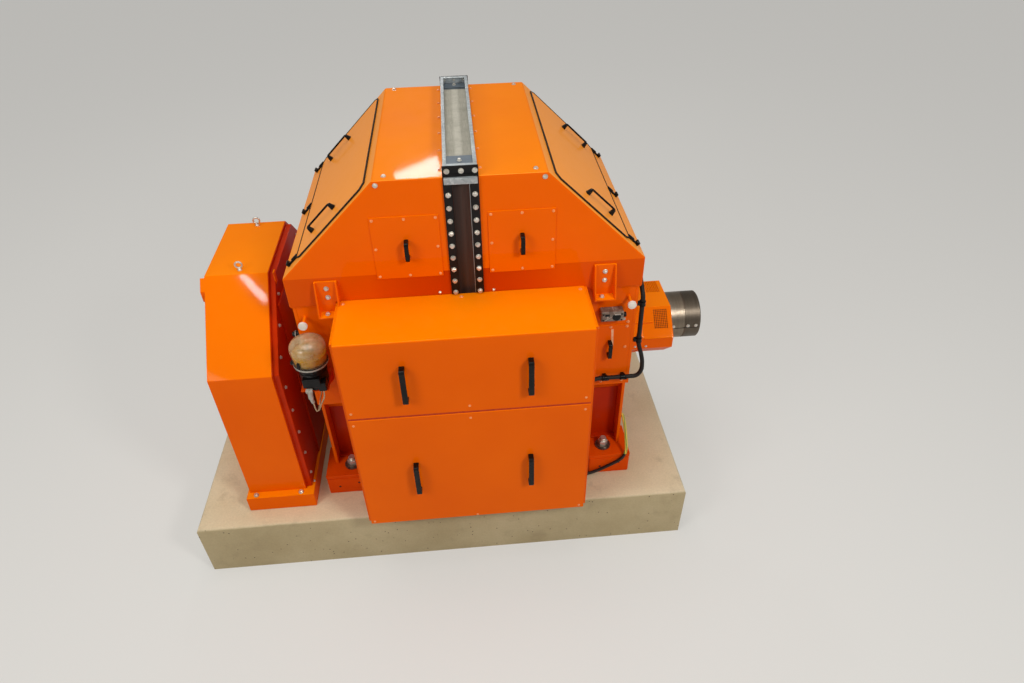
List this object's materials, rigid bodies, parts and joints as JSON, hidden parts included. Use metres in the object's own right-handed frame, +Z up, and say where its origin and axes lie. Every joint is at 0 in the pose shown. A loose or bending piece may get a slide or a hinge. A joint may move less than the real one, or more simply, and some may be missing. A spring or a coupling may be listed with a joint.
{
  "type": "hydroelectric generator",
  "caption": "Horizontal orange hydroelectric generator with hood, terminal box and guarded flywheel on a concrete plinth.",
  "frame": {"origin": "on the underside of the plinth, below the middle of the housing and below the shaft", "axes": "+X along the shaft to the driven end, +Y to the back away from the terminal box, +Z up"},
  "size_m": [3.05, 1.809, 2.425],
  "materials": {
    "concrete": "cast concrete, worn and pitted",
    "orange_paint": "glossy orange machine paint",
    "black_paint": "satin black paint",
    "brown_primer": "matt dark brown primer",
    "galvanised_steel": "dull galvanised",
    "bolt_steel": "zinc plated, slightly stained",
    "machined_steel": "turned, bright",
    "black_rubber": "matt black edging",
    "black_plastic": "satin black",
    "grey_plastic": "light grey, smooth",
    "white_plastic": "off-white",
    "amber_plastic": "clear cup with amber grease inside",
    "earth_green": "green and yellow insulation"
  },
  "bodies": {
    "generator": {"concrete_plinth": "concrete", "machine_feet": "orange_paint", "anchor_bolts": "bolt_steel", "stator_frame": "orange_paint", "end_plates": "orange_paint", "bearing_housing_left": "orange_paint", "bearing_housing_right": "orange_paint", "hood_left": "orange_paint", "hood_right": "orange_paint", "slot_channel": "brown_primer", "joint_flanges": "black_paint", "joint_bar": "galvanised_steel", "top_frame": "galvanised_steel", "top_frame_ends": "black_paint", "slope_covers": "orange_paint", "slope_edgings": "black_rubber", "slope_cover_clips": "black_plastic", "slope_handles": "black_plastic", "inspection_covers": "orange_paint", "small_handles": "black_plastic", "hood_brackets": "orange_paint", "terminal_box": "orange_paint", "terminal_cover_upper": "orange_paint", "terminal_cover_lower": "orange_paint", "terminal_handles": "black_plastic", "cable_glands": "black_plastic", "frame_access_cover": "orange_paint", "junction_box": "grey_plastic", "sensor_caps": "white_plastic", "loom_cable": "black_plastic", "loom_clips": "black_plastic", "earth_lead": "earth_green", "grease_reservoir": "amber_plastic", "grease_pump": "black_plastic", "pump_bracket": "orange_paint", "shaft_guard": "orange_paint", "shaft_guard_grilles": "orange_paint", "flywheel_guard_shell": "orange_paint", "flywheel_guard_cover": "orange_paint", "flywheel_guard_collar": "orange_paint", "flywheel_guard_base": "orange_paint", "lifting_eyes": "bolt_steel"},
    "rotor": {"rotor_shaft": "machined_steel", "coupling_sleeve": "machined_steel", "flywheel": "machined_steel"}
  },
  "joints": [
    {"name": "rotor_spin", "type": "hinge", "parent": "generator", "child": "rotor", "pos_m": [0, 0, 1.09], "axis": [1, 0, 0], "continuous": true}
  ]
}
